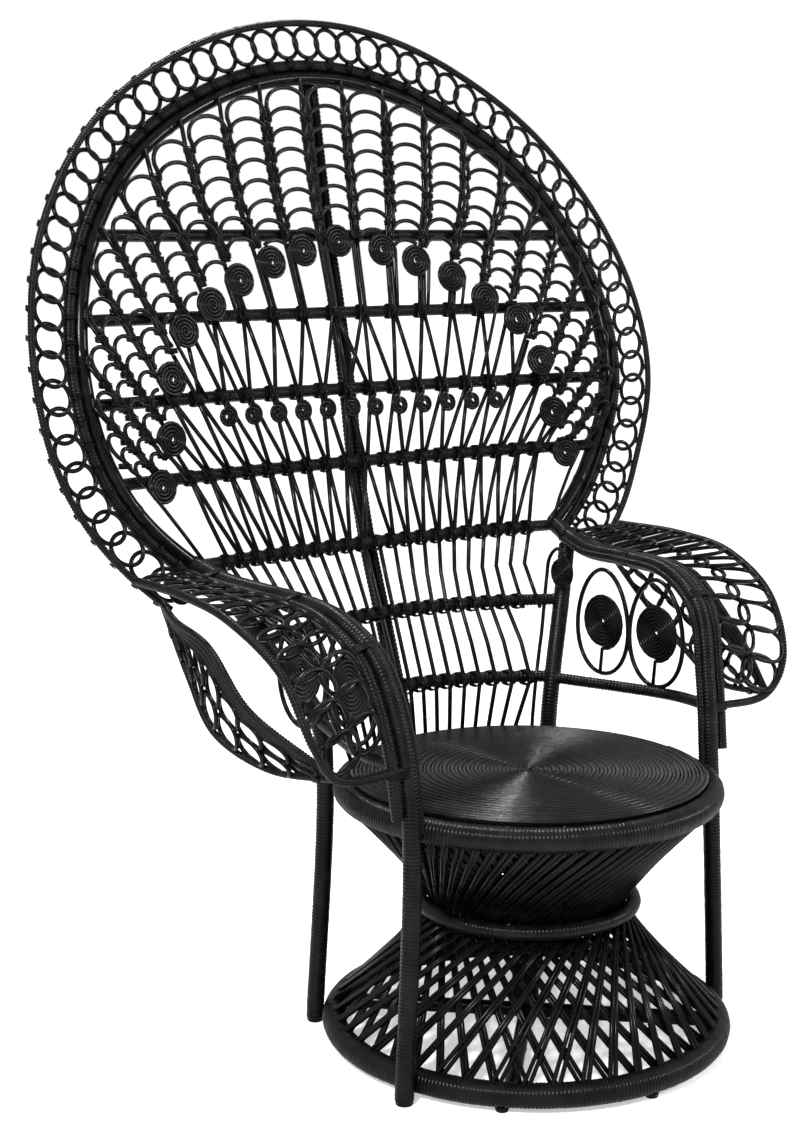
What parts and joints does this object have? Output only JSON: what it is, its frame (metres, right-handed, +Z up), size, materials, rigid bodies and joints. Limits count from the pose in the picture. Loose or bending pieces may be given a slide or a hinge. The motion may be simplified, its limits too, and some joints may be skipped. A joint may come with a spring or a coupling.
{
  "type": "peacock chair",
  "caption": "High-backed armchair of woven black rattan: a round fan back of looped cane, curled arms, a round seat and an hourglass base.",
  "frame": {"origin": "on the floor, under the middle of the chair's width and depth", "axes": "+Z up; the chair faces -Y; +X to the right of someone who looks at its front"},
  "size_m": [1.1764, 0.8642, 1.4998],
  "materials": {
    "lacquered_rattan": "black lacquer, semi-gloss",
    "seat_cane": "black lacquer, slightly worn"
  },
  "bodies": {
    "root": {"seat_disc": "seat_cane", "seat_rim": "lacquered_rattan", "waist_ring": "lacquered_rattan", "base_ring": "lacquered_rattan", "upper_cage": "lacquered_rattan", "lower_cage": "lacquered_rattan", "floor_cross": "lacquered_rattan", "centre_post": "lacquered_rattan", "foot_block_1": "lacquered_rattan", "foot_block_2": "lacquered_rattan", "inner_hoop": "lacquered_rattan", "outer_hoop": "lacquered_rattan", "rim_pole": "lacquered_rattan", "ring_border": "lacquered_rattan", "bar_7": "lacquered_rattan", "bar_6": "lacquered_rattan", "bar_5": "lacquered_rattan", "bar_4": "lacquered_rattan", "bar_3": "lacquered_rattan", "bar_2": "lacquered_rattan", "bar_1": "lacquered_rattan", "stakes": "lacquered_rattan", "course_1": "lacquered_rattan", "course_2": "lacquered_rattan", "course_3": "lacquered_rattan", "columns": "lacquered_rattan", "scallops_top": "lacquered_rattan", "scallops_sides": "lacquered_rattan", "small_spirals": "lacquered_rattan", "spiral_middle": "lacquered_rattan", "arm_pole_left": "lacquered_rattan", "outer_arm_pole_left": "lacquered_rattan", "rear_leg_left": "lacquered_rattan", "spine_pole_left": "lacquered_rattan", "wing_left": "lacquered_rattan", "side_leaf_left": "lacquered_rattan", "arm_scrolls_left": "lacquered_rattan", "spiral_left_1": "lacquered_rattan", "spiral_left_2": "lacquered_rattan", "spiral_left_3": "lacquered_rattan", "spiral_left_4": "lacquered_rattan", "spiral_left_5": "lacquered_rattan", "spiral_left_6": "lacquered_rattan", "spiral_left_7": "lacquered_rattan", "spiral_left_8": "lacquered_rattan", "arm_pole_right": "lacquered_rattan", "outer_arm_pole_right": "lacquered_rattan", "rear_leg_right": "lacquered_rattan", "spine_pole_right": "lacquered_rattan", "wing_right": "lacquered_rattan", "side_leaf_right": "lacquered_rattan", "arm_scrolls_right": "lacquered_rattan", "spiral_right_1": "lacquered_rattan", "spiral_right_2": "lacquered_rattan", "spiral_right_3": "lacquered_rattan", "spiral_right_4": "lacquered_rattan", "spiral_right_5": "lacquered_rattan", "spiral_right_6": "lacquered_rattan", "spiral_right_7": "lacquered_rattan", "spiral_right_8": "lacquered_rattan"}
  },
  "joints": []
}
